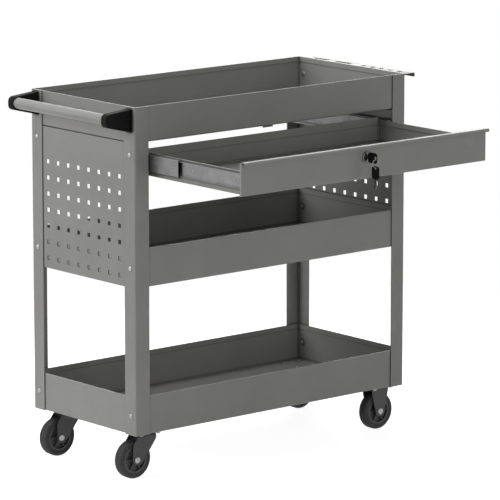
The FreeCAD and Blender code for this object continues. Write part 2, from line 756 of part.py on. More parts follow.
def make_wheel(parts, name, place):
    """Tyre, hub and riveted axle, with the axle along Y."""
    centre = place + V(0, 0, wheel_radius)
    half_tread = wheel_width / 2
    half_rim = rim_width / 2
    half_web = web_width / 2
    half_hub = fork_inner_width / 2 - hub_side_gap
    tyre = [(rim_radius, -half_rim), (wheel_radius, -half_tread), (wheel_radius, half_tread),
            (rim_radius, half_rim)]
    parts["tyre_" + name] = turned(tyre, [0, tread_round, tread_round, 0], centre, ALONG_Y)
    hub = [(axle_radius + axle_fit, -half_hub), (hub_radius, -half_hub), (hub_radius, -half_web),
           (rim_inner_radius, -half_web), (rim_inner_radius, -half_rim), (rim_radius, -half_rim),
           (rim_radius, half_rim), (rim_inner_radius, half_rim), (rim_inner_radius, half_web),
           (hub_radius, half_web), (hub_radius, half_hub), (axle_radius + axle_fit, half_hub)]
    rib = Part.makeBox(rim_inner_radius - hub_radius + 2 * hub_rib_root, rim_width - 2 * hub_rib_inset,
                       hub_rib_width,
                       V(hub_radius - hub_rib_root, hub_rib_inset - half_rim, -hub_rib_width / 2))
    ribs = [rib.rotated(V(0, 0, 0), ALONG_Y, 360 * i / hub_rib_count) for i in range(hub_rib_count)]
    wheel_centre = turned(hub, [0] * len(hub), V(0, 0, 0), ALONG_Y).fuse(ribs).removeSplitter()
    parts["hub_" + name] = wheel_centre.translated(centre)
    outer = fork_inner_width / 2 + fork_gauge
    end = outer + axle_head_height
    crown = axle_head_radius - axle_head_chamfer
    rim = end - axle_head_chamfer
    axle = [(0, -end), (crown, -end), (axle_head_radius, -rim), (axle_head_radius, -outer),
            (axle_radius, -outer), (axle_radius, outer), (axle_head_radius, outer),
            (axle_head_radius, rim), (crown, end), (0, end)]
    parts["axle_" + name] = turned(axle, [0] * len(axle), centre, ALONG_Y)


def make_casters(parts):
    for name, centre in caster_centres().items():
        if name.endswith("left"):
            make_swivel_caster(parts, name, centre)
        else:
            make_rigid_caster(parts, name, centre)


def make_fasteners(parts):
    bolts = []
    nuts = []
    bore = bolt_radius + nut_thread_gap
    for end, side, height, outside, inside in post_bolt_stations():
        outer_face = V(end * (half_l + outside), side * bolt_y, height)
        inner_face = V(end * (half_l - post_gauge - inside), side * bolt_y, height)
        outwards = V(end, 0, 0)
        # The tool holder's bolts have their heads inside the tray, so that its floor stays clear.
        if outside > 0:
            outer_face, inner_face, outwards = inner_face, outer_face, -outwards
        grip = outside + post_gauge + inside
        bolts.append(bolt(grip + nut_height + bolt_end, outer_face, outwards))
        nuts.append(hexagon(nut_flats, nut_height, bore, inner_face, -outwards))
    parts["tray_bolts"] = group(bolts)
    parts["tray_nuts"] = group(nuts)

    seat = -half_l + post_gauge + tray_gauge
    length = post_gauge + tray_gauge + bracket_bolt_depth - bolt_end
    parts["handle_bolts"] = group([bolt(length, V(seat, side * handle_bolt_y(), height), ALONG_X)
                                   for side in (-1, 1) for height in handle_bolt_heights()])

    floor = caster_height + tray_gauge
    grip = tray_gauge + caster_plate_gauge
    parts["caster_bolts"] = group([bolt(grip + nut_height + bolt_end, place + V(0, 0, floor), ALONG_Z)
                                   for place in caster_bolt_places()])
    parts["caster_nuts"] = group([hexagon(nut_flats, nut_height, bore, place + V(0, 0, plate_base), -ALONG_Z)
                                  for place in caster_bolt_places()])


def build():
    parts = {}
    holes = bolt_holes()
    make_trays(parts, holes)
    make_posts(parts, holes)
    make_panels(parts, holes)
    make_handle(parts, holes)
    make_holder(parts, holes)
    make_hangers(parts)
    make_slides(parts)
    make_drawer(parts)
    make_lock(parts)
    make_keys(parts)
    make_casters(parts)
    make_fasteners(parts)
    return parts


os.makedirs("parts", exist_ok=True)
for name, shape in build().items():
    shape.exportStep("parts/" + name + ".step")
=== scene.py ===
import json
import math

import bpy
from bpy.props import FloatProperty, FloatVectorProperty, IntProperty, PointerProperty
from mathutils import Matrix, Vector


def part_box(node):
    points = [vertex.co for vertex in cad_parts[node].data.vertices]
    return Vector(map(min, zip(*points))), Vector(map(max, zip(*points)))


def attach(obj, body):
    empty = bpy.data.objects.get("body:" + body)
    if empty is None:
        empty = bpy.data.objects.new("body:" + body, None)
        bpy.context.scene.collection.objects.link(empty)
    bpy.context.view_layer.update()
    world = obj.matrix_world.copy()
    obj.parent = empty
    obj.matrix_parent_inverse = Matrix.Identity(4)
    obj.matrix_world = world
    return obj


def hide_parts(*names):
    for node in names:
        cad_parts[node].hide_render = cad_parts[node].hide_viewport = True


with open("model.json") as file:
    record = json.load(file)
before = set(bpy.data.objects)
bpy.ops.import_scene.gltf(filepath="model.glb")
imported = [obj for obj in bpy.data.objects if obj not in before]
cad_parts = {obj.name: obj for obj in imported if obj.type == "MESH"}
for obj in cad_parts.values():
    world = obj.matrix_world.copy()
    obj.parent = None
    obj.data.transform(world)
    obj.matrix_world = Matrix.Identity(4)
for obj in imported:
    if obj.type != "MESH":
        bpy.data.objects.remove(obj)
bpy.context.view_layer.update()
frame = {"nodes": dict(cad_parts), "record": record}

bl_info = {
    "name": "Workshop utility cart",
    "version": (1, 0, 0),
    "blender": (4, 5, 0),
    "location": "View3D > Sidebar > Cart",
    "description": "Finishes, fine pieces and studio of a steel utility cart with a locking drawer",
    "category": "Add Mesh",
}

NODES = frame["nodes"]
SLOT_OF = {part["node"]: part["material_slot"] for part in frame["record"]["subparts"]}
FULL_TURN = 2.0 * math.pi
X_AXIS, Z_AXIS = 0, 2
ALONG_Y = (0.0, 1.0, 0.0)
UPRIGHT = (0.0, 0.0, 1.0)
START_SIZE = 0.001
MERGE_DISTANCE = 1e-6
LENGTH_DIGITS = 6
SMOOTH_ANGLE = math.radians(35.0)
FLAT_NORMAL = 0.99

# Turns that bring a key, modelled flat with its ring's side towards -Y, to its place
KEY_IN_LOCK = (0.0, -math.pi / 2, 0.0)
KEY_HANGING = (-math.pi / 2, 0.0, math.pi / 2)

# Steps round each kind of round piece, and along its arcs
BOLT_STEPS, CROWN_STEPS = 24, 6
NUT_STEPS = 42
TYRE_STEPS, SHOULDER_STEPS = 96, 8
BALL_STEPS, BALL_ARC_STEPS = 10, 6
SCREW_STEPS = 20
BOW_STEPS, BOW_EDGE_STEPS = 8, 3
TIP_STEPS = 3
SLOT_STEPS = 4
RING_STEPS, WIRE_STEPS = 48, 2

# Forms as shares of a piece's own sizes; pairs are points of an outline
HEAD_SHARE = 0.9
NUT_FACE = 0.95
NUT_LENS = 1.1
TYRE_BEAD = ((0.30, 0.0), (0.40, 1.0), (0.58, 1.0), (0.68, 0.0))
SCREW_CROWN = ((0.0, 1.0), (0.5, 0.94), (0.8, 0.72), (0.95, 0.42), (1.0, 0.0))
SCREW_SHANK = 0.5
SCREW_RECESS, SCREW_RECESS_FLOOR = 0.55, 0.35
TIP_TAPER = 0.6
GROOVE_OFFSET = 0.3

# Range that most of a noise's values lie in, widths of worn edges, and the steel under the black paint
GRAIN = (0.3, 0.7)
WORN_EDGE, RUBBED_EDGE = 0.0012, 0.0010
BARE_STEEL = (0.30, 0.29, 0.28, 1.0)

# Floor: its width, its grey, its glow, and where it starts and ends to fade into the white room
WHITE = (1.0, 1.0, 1.0, 1.0)
FLOOR_WIDTH = 60.0
FLOOR_GREY = (0.72, 0.72, 0.72, 1.0)
FLOOR_GLOW = 0.86
FLOOR_NEAR, FLOOR_FAR = 0.9, 2.0

# Lights: name, setting of the power, width, place and the point aimed at
LIGHTS = (
    ("key_light", "key_power", 1.6, (-3.0, 1.2, 1.6), (0.0, 0.0, 0.5)),
    ("top_light", "top_power", 2.4, (-0.6, 0.3, 3.4), (0.0, 0.0, 0.6)),
    ("fill_light", "fill_power", 2.0, (-0.6, -3.6, 1.4), (0.0, 0.0, 0.5)),
    ("side_light", "side_power", 2.0, (2.5, -3.0, 1.6), (0.0, 0.0, 0.5)),
    ("back_light", "back_power", 2.0, (2.6, 2.8, 1.8), (0.0, 0.0, 0.5)),
)
SENSOR_WIDTH = 36.0
VIEW_DEPTH = 200.0


class CartPaintSettings(bpy.types.PropertyGroup):
    colour: FloatVectorProperty(
        name="Paint", description="Grey of the powder coat", subtype="COLOR", size=3,
        default=(0.237, 0.236, 0.229))
    roughness: FloatProperty(
        name="Roughness", description="Satin of the powder coat", default=0.42, min=0.05, max=1.0)
    peel: FloatProperty(
        name="Orange peel", description="Width of one ripple of the coat", default=0.0022, unit="LENGTH")
    wear: FloatProperty(
        name="Edge wear", description="How far bare metal shows along the edges", default=0.3, min=0.0,
        max=1.0)
    # Painted shade: how dark the coat is painted in corners and holes, and how far from a corner that painted
    # shade reaches
    painted_shade: FloatProperty(
        name="PaintedShade", description="How dark corners and holes have grown", default=0.85, min=0.0, max=1.0)
    painted_shade_reach: FloatProperty(
        name="Grime reach", description="How far grime spreads from a corner", default=0.007, unit="LENGTH")


class CartMetalSettings(bpy.types.PropertyGroup):
    slide: FloatVectorProperty(
        name="Slide zinc", description="Plate of the slides", subtype="COLOR", size=3,
        default=(0.21, 0.211, 0.213))
    fastener: FloatVectorProperty(
        name="Fastener zinc", description="Plate of the bolts and nuts", subtype="COLOR", size=3,
        default=(0.34, 0.342, 0.34))
    black: FloatVectorProperty(
        name="Black paint", description="Paint of the caster forks and plates", subtype="COLOR", size=3,
        default=(0.030, 0.030, 0.031))
    nickel: FloatVectorProperty(
        name="Dark nickel", description="Plate of the lock and the key blades", subtype="COLOR", size=3,
        default=(0.17, 0.167, 0.162))


class CartPlasticSettings(bpy.types.PropertyGroup):
    black: FloatVectorProperty(
        name="Black plastic", description="Handle brackets and key heads", subtype="COLOR", size=3,
        default=(0.007, 0.007, 0.0075))
    rubber: FloatVectorProperty(
        name="Tyre rubber", description="Tyres of the casters", subtype="COLOR", size=3,
        default=(0.018, 0.018, 0.018))
    hub: FloatVectorProperty(
        name="Hub plastic", description="Moulded wheel centres", subtype="COLOR", size=3,
        default=(0.075, 0.075, 0.074))


class CartFastenerSettings(bpy.types.PropertyGroup):
    head_radius: FloatProperty(
        name="Head radius", description="Low round bolt head", default=0.006, unit="LENGTH")
    head_height: FloatProperty(
        name="Head height", description="From the seat to the crown", default=0.0026, unit="LENGTH")
    head_edge: FloatProperty(
        name="Head edge", description="Straight edge below the dome", default=0.0007, unit="LENGTH")
    shank_radius: FloatProperty(
        name="Shank radius", description="Outside of the thread", default=0.003, unit="LENGTH")
    thread_pitch: FloatProperty(
        name="Thread pitch", description="From crest to crest", default=0.001, unit="LENGTH")
    thread_depth: FloatProperty(
        name="Thread depth", description="From crest to root", default=0.0004, unit="LENGTH")
    thread_turns: IntProperty(name="Thread turns", description="Crests at the bolt's end", default=6)
    recess_length: FloatProperty(
        name="Recess length", description="Arm to arm of the cross recess", default=0.0056, unit="LENGTH")
    recess_width: FloatProperty(
        name="Recess width", description="One arm of the cross recess", default=0.0011, unit="LENGTH")
    recess_depth: FloatProperty(
        name="Recess depth", description="Below the crown", default=0.0015, unit="LENGTH")
    nut_chamfer: FloatProperty(
        name="Nut chamfer", description="Fall of the turned corners", default=0.0006, unit="LENGTH")


class CartWheelSettings(bpy.types.PropertyGroup):
    tread_round: FloatProperty(
        name="Tread rounding", description="Shoulders of the tyre", default=0.006, unit="LENGTH")
    groove_width: FloatProperty(
        name="Groove width", description="Each groove round the tread", default=0.0018, unit="LENGTH")
    groove_depth: FloatProperty(
        name="Groove depth", description="Below the tread", default=0.0009, unit="LENGTH")
    bead: FloatProperty(
        name="Bead", description="Height of the ring moulded on each side", default=0.0005, unit="LENGTH")
    rim_width: FloatProperty(
        name="Rim width", description="Tyre's foot on the hub", default=0.023, unit="LENGTH")


class CartSlideSettings(bpy.types.PropertyGroup):
    ball_radius: FloatProperty(
        name="Ball radius", description="Steel balls between the slide members", default=0.00075,
        unit="LENGTH")
    balls: IntProperty(name="Balls", description="Balls in one row of a cage", default=9)
    cage_gauge: FloatProperty(
        name="Cage gauge", description="Sheet of the ball cages", default=0.001, unit="LENGTH")
    web_gauge: FloatProperty(
        name="Web gauge", description="Sheet of the slide's inner member", default=0.0012, unit="LENGTH")
    screw_radius: FloatProperty(
        name="Screw head radius", description="Low heads that hold the slide to the drawer", default=0.0036,
        unit="LENGTH")
    screw_height: FloatProperty(
        name="Screw head height", description="From the web to the crown", default=0.0014, unit="LENGTH")
    screw_inset: FloatProperty(
        name="Screw inset", description="From the member's end to the nearest screw", default=0.030,
        unit="LENGTH")
    screws: IntProperty(name="Screws", description="Screws in each inner member", default=3)


class CartKeySettings(bpy.types.PropertyGroup):
    bow_length: FloatProperty(
        name="Bow length", description="Moulded head of each key", default=0.030, unit="LENGTH")
    bow_round: FloatProperty(
        name="Bow rounding", description="Corners of the head", default=0.007, unit="LENGTH")
    rim: FloatProperty(
        name="Bow rim", description="Raised border of the head", default=0.0028, unit="LENGTH")
    recess: FloatProperty(
        name="Thumb recess", description="Depth inside the border", default=0.0005, unit="LENGTH")
    edge: FloatProperty(
        name="Bow edge", description="Rounding of the head's edges", default=0.0004, unit="LENGTH")
    slot_width: FloatProperty(
        name="Slot width", description="Across the ring's slot", default=0.008, unit="LENGTH")
    slot_length: FloatProperty(
        name="Slot length", description="Along the ring's slot", default=0.007, unit="LENGTH")
    slot_edge: FloatProperty(
        name="Slot edge", description="From the slot to the bow's end", default=0.0015, unit="LENGTH")
    slot_round: FloatProperty(
        name="Slot rounding", description="Corners of the ring's slot", default=0.002, unit="LENGTH")
    hole_radius: FloatProperty(
        name="Hole radius", description="Hole of the spare key", default=0.003, unit="LENGTH")
    hole_edge: FloatProperty(
        name="Hole edge", description="From the hole to the bow's end", default=0.002, unit="LENGTH")
    blade_width: FloatProperty(
        name="Blade width", description="Flat blade of each key", default=0.008, unit="LENGTH")
    blade_gauge: FloatProperty(
        name="Blade gauge", description="Thickness of each blade", default=0.0020, unit="LENGTH")
    blade_root: FloatProperty(
        name="Blade root", description="Length of blade moulded into the head", default=0.0024, unit="LENGTH")
    groove_width: FloatProperty(
        name="Groove width", description="Milled along each side of the blade", default=0.0018, unit="LENGTH")
    groove_depth: FloatProperty(
        name="Groove depth", description="Below the side of the blade", default=0.0004, unit="LENGTH")
    cut_start: FloatProperty(
        name="First cut", description="From the tip to the first cut", default=0.004, unit="LENGTH")
    cut_pitch: FloatProperty(
        name="Cut pitch", description="From cut to cut along the blade", default=0.0044, unit="LENGTH")
    cut_depths: FloatVectorProperty(
        name="Cut depths", description="Depth of each cut from the tip", size=4, unit="LENGTH",
        default=(0.0016, 0.0024, 0.0012, 0.0020))
    wire_width: FloatProperty(
        name="Ring wire width", description="Flat wire of the split ring, along its axis", default=0.00052,
        unit="LENGTH")
    wire_height: FloatProperty(
        name="Ring wire height", description="Flat wire of the split ring, across it", default=0.0011,
        unit="LENGTH")
    ring_turns: IntProperty(name="Ring turns", description="Turns of the split ring", default=2)


class CartStageSettings(bpy.types.PropertyGroup):
    azimuth: FloatProperty(
        name="Azimuth", description="Camera's turn towards the handle end", default=math.radians(40.3),
        subtype="ANGLE")
    elevation: FloatProperty(
        name="Elevation", description="Camera's height above the horizon", default=math.radians(10.95),
        subtype="ANGLE")
    distance: FloatProperty(
        name="Distance", description="From the camera to the point it aims at", default=9.2,
        unit="LENGTH")
    lens: FloatProperty(name="Lens", description="Focal length in millimetres", default=279.2)
    aim_right: FloatProperty(
        name="Aim right", description="Aim to the right of the cart's middle", default=0.0693,
        unit="LENGTH")
    aim_up: FloatProperty(
        name="Aim up", description="Aim above the cart's middle", default=0.0294, unit="LENGTH")
    key_power: FloatProperty(
        name="Key light", description="From behind the handle end", default=46.0, unit="POWER")
    top_power: FloatProperty(name="Top light", description="From above", default=76.0, unit="POWER")
    fill_power: FloatProperty(name="Fill light", description="From the front", default=25.0, unit="POWER")
    side_power: FloatProperty(
        name="Side light", description="From the front, at the tool holder's side", default=6.0, unit="POWER")
    back_power: FloatProperty(
        name="Back light", description="From behind, at the tool holder's side", default=40.0, unit="POWER")
    ambient: FloatProperty(name="Ambient", description="Strength of the room's own light", default=0.12)


def add_node(tree, kind, inputs=None, **settings):
    """One shader node: settings by name, inputs as a value or as the socket that feeds them."""
    made = tree.nodes.new(kind)
    for key, value in settings.items():
        setattr(made, key, value)
    for key, value in (inputs or {}).items():
        if isinstance(value, bpy.types.NodeSocket):
            tree.links.new(value, made.inputs[key])
        else:
            made.inputs[key].default_value = value
    return made


def new_finish(name, metallic=0.0):
    """Starts a material: its node tree, its one shader and the object's own coordinates in metres."""
    material = bpy.data.materials.new(name)
    material.use_nodes = True
    tree = material.node_tree
    tree.nodes.clear()
    shader = add_node(tree, "ShaderNodeBsdfPrincipled", {"Metallic": metallic})
    add_node(tree, "ShaderNodeOutputMaterial", {"Surface": shader.outputs["BSDF"]})
    place = add_node(tree, "ShaderNodeTexCoord").outputs["Object"]
    return tree, shader, place


def noise(tree, place, size, detail=3.0, stretch=(1.0, 1.0, 1.0)):
    """Cloudy grain about as wide as size in metres, drawn out along an axis by stretch."""
    scale = [1.0 / (size * factor) for factor in stretch]
    mapped = add_node(tree, "ShaderNodeMapping", {"Vector": place, "Scale": scale})
    grain = add_node(tree, "ShaderNodeTexNoise",
                     {"Vector": mapped.outputs["Vector"], "Scale": 1.0, "Detail": detail})
    return grain.outputs[0]


def between(tree, value, low, high, start=0.0, end=1.0):
    """Takes value from the range low to high to the range start to end, and holds it there."""
    ranged = add_node(tree, "ShaderNodeMapRange",
                      {"Value": value, "From Min": low, "From Max": high, "To Min": start, "To Max": end})
    return ranged.outputs["Result"]


def arithmetic(tree, operation, first, second):
    """Result of one operation on two numbers or sockets."""
    made = add_node(tree, "ShaderNodeMath", {0: first, 1: second}, operation=operation)
    return made.outputs["Value"]


def blend_colours(tree, share, first, second):
    """First colour, with a share of the second over it."""
    mixed = add_node(tree, "ShaderNodeMix", {0: share, 6: first, 7: second}, data_type="RGBA")
    return mixed.outputs[2]


def shade(colour, factor):
    """Darker or paler form of a colour, by a factor."""
    return tuple(min(1.0, channel * factor) for channel in colour) + (1.0,)


def mottled(tree, share, tint, dark, pale):
    """Colour that goes from a dark to a pale shade of tint, by share."""
    return blend_colours(tree, share, shade(tint, dark), shade(tint, pale))


def uneven(tree, grain, level, less, more, high=GRAIN[1]):
    """Roughness that goes with a grain from less below its level to more above it."""
    return between(tree, grain, GRAIN[0], high, level - less, level + more)


def edge_mask(tree, radius, breakup):
    """1 along worn edges, 0 on flats: where a rounded normal leaves the true one, broken up by grain."""
    rounded = add_node(tree, "ShaderNodeBevel", {"Radius": radius}, samples=4)
    true = add_node(tree, "ShaderNodeNewGeometry")
    likeness = add_node(tree, "ShaderNodeVectorMath",
                        {0: rounded.outputs["Normal"], 1: true.outputs["Normal"]}, operation="DOT_PRODUCT")
    edge = between(tree, likeness.outputs["Value"], low=0.98, high=0.80)
    return arithmetic(tree, "MULTIPLY", edge, breakup)


def bump(tree, shader, height, strength, distance):
    """Lets a shader's normal follow a height."""
    made = add_node(tree, "ShaderNodeBump", {"Height": height, "Strength": strength, "Distance": distance})
    tree.links.new(made.outputs["Normal"], shader.inputs["Normal"])


def cover(tree, shader, colour, roughness):
    """Gives a shader its colour and its roughness."""
    tree.links.new(colour, shader.inputs["Base Color"])
    tree.links.new(roughness, shader.inputs["Roughness"])


def grey_powder_coat(settings):
    """Satin grey coat: orange peel, slight clouding, fine scratches, worn edges and painted shade in corners
    and holes.
    """
    tree, shader, place = new_finish("finish_grey_paint")
    coat = tuple(settings.colour)
    clouds = noise(tree, place, size=0.16, detail=4.0)
    base = mottled(tree, between(tree, clouds, *GRAIN), coat, dark=0.94, pale=1.06)
    lines = noise(tree, place, size=0.0012, detail=2.0, stretch=(60.0, 1.0, 60.0))
    scratches = between(tree, lines, low=0.70, high=0.76, end=0.25)
    base = blend_colours(tree, scratches, base, shade(coat, factor=1.5))
    patches = noise(tree, place, size=0.012, detail=5.0)
    worn = edge_mask(tree, WORN_EDGE, between(tree, patches, low=0.50, high=0.66, end=settings.wear))
    base = blend_colours(tree, worn, base, shade(coat, factor=1.9))
    # Painted shade: ambient occlusion darkens the coat's colour in corners, seams and holes, where shade
    # falls
    corners = add_node(tree, "ShaderNodeAmbientOcclusion", {"Distance": settings.painted_shade_reach}, samples=16)
    painted_shade = between(tree, corners.outputs["AO"], low=0.97, high=0.72, end=settings.painted_shade)
    base = blend_colours(tree, painted_shade, base, shade(coat, factor=0.2))
    rubbed = noise(tree, place, size=0.045, detail=5.0)
    cover(tree, shader, base, uneven(tree, rubbed, settings.roughness, less=0.06, more=0.08))
    peel = noise(tree, place, settings.peel, detail=2.0)
    bump(tree, shader, peel, strength=0.10, distance=0.0004)


def zinc_plate(slot, colour, roughness, grain):
    """Plated steel: drawn grain along the piece, cloudy passivation and a few dull spots."""
    tree, shader, place = new_finish("finish_" + slot, metallic=1.0)
    tint = tuple(colour)
    clouds = noise(tree, place, size=0.03, detail=4.0)
    streaks = noise(tree, place, size=0.0006, stretch=grain)
    share = arithmetic(tree, "MULTIPLY", clouds, between(tree, streaks, *GRAIN, start=0.6, end=1.4))
    base = mottled(tree, between(tree, share, low=0.25, high=0.75), tint, dark=0.78, pale=1.12)
    spots = noise(tree, place, size=0.008, detail=4.0)
    cover(tree, shader, base, uneven(tree, spots, roughness, less=0.07, more=0.14, high=0.75))
    bump(tree, shader, streaks, strength=0.12, distance=0.0001)


def dark_nickel(colour):
    """Dark plate with faint finger marks."""
    tree, shader, place = new_finish("finish_lock_nickel", metallic=1.0)
    tint = tuple(colour)
    marks = noise(tree, place, size=0.004, detail=4.0)
    base = mottled(tree, marks, tint, dark=0.92, pale=1.05)
    cover(tree, shader, base, between(tree, marks, low=0.35, high=0.7, start=0.18, end=0.34))
    bump(tree, shader, marks, strength=0.03, distance=0.0001)


def moulded_plastic(slot, colour, roughness, grain, rubbed, specular):
    """Fine-grained moulding, a little paler along its rubbed edges."""
    tree, shader, place = new_finish("finish_" + slot)
    shader.inputs["Specular IOR Level"].default_value = specular
    tint = tuple(colour)
    clouds = noise(tree, place, size=0.02, detail=4.0)
    base = mottled(tree, clouds, tint, dark=0.85, pale=1.15)
    patches = noise(tree, place, size=0.006, detail=4.0)
    worn = edge_mask(tree, WORN_EDGE, between(tree, patches, low=0.35, high=0.65, start=0.1, end=0.7))
    base = blend_colours(tree, worn, base, shade(tint, rubbed))
    cover(tree, shader, base, uneven(tree, patches, roughness, less=0.06, more=0.08))
    bump(tree, shader, noise(tree, place, grain, detail=2.0), strength=0.18, distance=0.0002)


def tyre_rubber(colour):
    """Matt rubber, scuffed and a little dusty on the tread."""
    tree, shader, place = new_finish("finish_tyre_rubber")
    tint = tuple(colour)
    scuffs = noise(tree, place, size=0.006, detail=6.0)
    dust = noise(tree, place, size=0.02, detail=4.0)
    base = mottled(tree, between(tree, scuffs, low=0.35, high=0.7), tint, dark=0.75, pale=1.35)
    dusty = between(tree, dust, low=0.52, high=0.8, end=0.3)
    base = blend_colours(tree, dusty, base, shade(tint, factor=4.0))
    cover(tree, shader, base, between(tree, scuffs, *GRAIN, start=0.62, end=0.85))
    bump(tree, shader, noise(tree, place, size=0.0012), strength=0.2, distance=0.0003)


def black_paint(colour):
    """Black paint over pressed steel, rubbed to bare metal along its edges."""
    tree, shader, place = new_finish("finish_caster_black")
    tint = tuple(colour)
    clouds = noise(tree, place, size=0.015, detail=5.0)
    base = mottled(tree, clouds, tint, dark=0.8, pale=1.3)
    patches = noise(tree, place, size=0.005, detail=4.0)
    worn = edge_mask(tree, RUBBED_EDGE, between(tree, patches, low=0.48, high=0.68, end=0.8))
    base = blend_colours(tree, worn, base, BARE_STEEL)
    cover(tree, shader, base, between(tree, clouds, *GRAIN, start=0.34, end=0.5))
    bump(tree, shader, noise(tree, place, size=0.0016, detail=2.0), strength=0.12, distance=0.0003)


def finish_of(slot):
    """Finish that was made for a material slot."""
    return bpy.data.materials["finish_" + slot]


class CART_OT_finishes(bpy.types.Operator):
    """Give every solid piece the finish of its material slot"""
    bl_idname = "cart.finishes"
    bl_label = "Paint and plate the pieces"

    def execute(self, context):
        scene = context.scene
        paint, metal, plastic = scene.cart_paint, scene.cart_metal, scene.cart_plastic
        grey_powder_coat(paint)
        black_paint(metal.black)
        zinc_plate("slide_zinc", metal.slide, roughness=0.45, grain=(1.0, 60.0, 1.0))
        zinc_plate("fastener_zinc", metal.fastener, roughness=0.46, grain=(1.0, 1.0, 1.0))
        dark_nickel(metal.nickel)
        moulded_plastic(
            "black_plastic", plastic.black, roughness=0.6, grain=0.0007, rubbed=3.0, specular=0.08)
        moulded_plastic(
            "hub_plastic", plastic.hub, roughness=0.5, grain=0.0009, rubbed=1.5, specular=0.4)
        tyre_rubber(plastic.rubber)
        for name, node in NODES.items():
            node.material_slots[0].material = finish_of(SLOT_OF[name])
        return {"FINISHED"}


def start_clean():
    """Object mode with nothing selected."""
    if bpy.context.mode != "OBJECT":
        bpy.ops.object.mode_set(mode="OBJECT")
    bpy.ops.object.select_all(action="DESELECT")


def take(*pieces):
    """Selects these pieces alone; the first is the active one."""
    start_clean()
    for piece in pieces:
        piece.select_set(True)
    bpy.context.view_layer.objects.active = pieces[0]


def remove(*pieces):
    """Deletes these pieces."""
    take(*pieces)
    bpy.ops.object.delete()


def edit_all(piece):
    """Enters edit mode with the whole of a piece selected."""
    take(piece)
    bpy.ops.object.mode_set(mode="EDIT")
    bpy.ops.mesh.select_all(action="SELECT")


def pick(piece, kind, elements, wanted):
    """Enters edit mode with those elements of one kind selected for which wanted(element) is true."""
    take(piece)
    bpy.ops.object.mode_set(mode="EDIT")
    bpy.ops.mesh.select_mode(type=kind)
    bpy.ops.mesh.select_all(action="DESELECT")
    bpy.ops.object.mode_set(mode="OBJECT")
    for element in getattr(piece.data, elements):
        element.select = wanted(element)
    bpy.ops.object.mode_set(mode="EDIT")


def pick_faces(piece, wanted):
    """Picks the faces for which wanted(normal) is true."""
    pick(piece, "FACE", "polygons", lambda face: wanted(face.normal))


def pick_edges(piece, wanted):
    """Picks the edges for which wanted(one end, other end) is true."""
    pick(piece, "EDGE", "edges",
         lambda edge: wanted(*(piece.data.vertices[i].co for i in edge.vertices)))


def round_off(offset, segments):
    """Rounds the picked edges and leaves edit mode."""
    bpy.ops.mesh.bevel(offset=offset, segments=segments, affect="EDGES", clamp_overlap=False)
    bpy.ops.object.mode_set(mode="OBJECT")


def apply_place(piece):
    """Puts a piece's place, turn and scale into its mesh."""
    take(piece)
    bpy.ops.object.transform_apply(location=True, rotation=True, scale=True)


def set_on(piece, seat, axis):
    """Turns a piece's Z to axis, moves its origin to seat and keeps both in its mesh."""
    piece.rotation_mode = "QUATERNION"
    piece.rotation_quaternion = Vector(axis).to_track_quat("Z", "Y")
    piece.location = seat
    apply_place(piece)


def copy_of(piece, name):
    """Copy of a piece with a mesh of its own."""
    take(piece)
    bpy.ops.object.duplicate(linked=False)
    made = bpy.context.active_object
    made.name = name
    return made


def copy_on(model, name, seat, axis):
    """Copy of a model with its origin on seat and its Z along axis."""
    made = copy_of(model, name)
    set_on(made, seat, axis)
    return made


def joined(name, pieces):
    """One piece made of several."""
    take(*pieces)
    bpy.ops.object.join()
    whole = bpy.context.active_object
    whole.name = name
    return whole


def block(name, low, high):
    """Box between two corners, as a start for shaping."""
    start_clean()
    middle = [(a + b) / 2 for a, b in zip(low, high)]
    bpy.ops.mesh.primitive_cube_add(size=1.0, location=middle)
    piece = bpy.context.active_object
    piece.name = name
    piece.scale = [b - a for a, b in zip(low, high)]
    apply_place(piece)
    return piece


def turned(name, profile, steps):
    """Profile of (radius, height) points, drawn by extruding one vertex and spun about Z."""
    start_clean()
    bpy.ops.mesh.primitive_plane_add(size=START_SIZE, location=(0.0, 0.0, 0.0))
    piece = bpy.context.active_object
    piece.name = name
    edit_all(piece)
    bpy.ops.mesh.select_mode(type="VERT")
    bpy.ops.mesh.merge(type="CENTER")
    bpy.ops.transform.translate(value=(profile[0][0], 0.0, profile[0][1]))
    for before, after in zip(profile, profile[1:]):
        step = (after[0] - before[0], 0.0, after[1] - before[1])
        bpy.ops.mesh.extrude_region_move(TRANSFORM_OT_translate={"value": step})
    bpy.ops.mesh.select_all(action="SELECT")
    bpy.ops.mesh.spin(steps=steps, angle=FULL_TURN, center=(0.0, 0.0, 0.0), axis=UPRIGHT)
    bpy.ops.mesh.select_all(action="SELECT")
    bpy.ops.mesh.remove_doubles(threshold=MERGE_DISTANCE)
    bpy.ops.mesh.normals_make_consistent(inside=False)
    bpy.ops.object.mode_set(mode="OBJECT")
    return piece


def arc(centre, radius, start, end, steps):
    """Round stretch of a profile about centre, from start to end in degrees."""
    turns = [math.radians(start + (end - start) * i / steps) for i in range(steps + 1)]
    return [(centre[0] + radius * math.cos(turn), centre[1] + radius * math.sin(turn)) for turn in turns]


def cut_by(piece, tool, operation="DIFFERENCE"):
    """Cuts a piece with a tool, or keeps what they share, and removes the tool."""
    take(piece)
    cutter = piece.modifiers.new("cut", "BOOLEAN")
    cutter.operation = operation
    cutter.solver = "EXACT"
    cutter.object = tool
    bpy.ops.object.modifier_apply(modifier=cutter.name)
    remove(tool)


def clear_slivers(piece):
    """Closes up the doubled points and flat faces that cuts can leave in a mesh."""
    edit_all(piece)
    bpy.ops.mesh.remove_doubles(threshold=MERGE_DISTANCE)
    bpy.ops.mesh.dissolve_degenerate(threshold=MERGE_DISTANCE)
    bpy.ops.mesh.normals_make_consistent(inside=False)
    bpy.ops.object.mode_set(mode="OBJECT")


def dress(piece, slot, body, *nodes):
    """Smooths a finished piece, gives it its slot's finish and lets it ride in place of nodes."""
    take(piece)
    bpy.ops.object.shade_smooth_by_angle(angle=SMOOTH_ANGLE)
    piece.data.materials.clear()
    piece.data.materials.append(finish_of(slot))
    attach(piece, body)
    if nodes:
        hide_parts(*nodes)


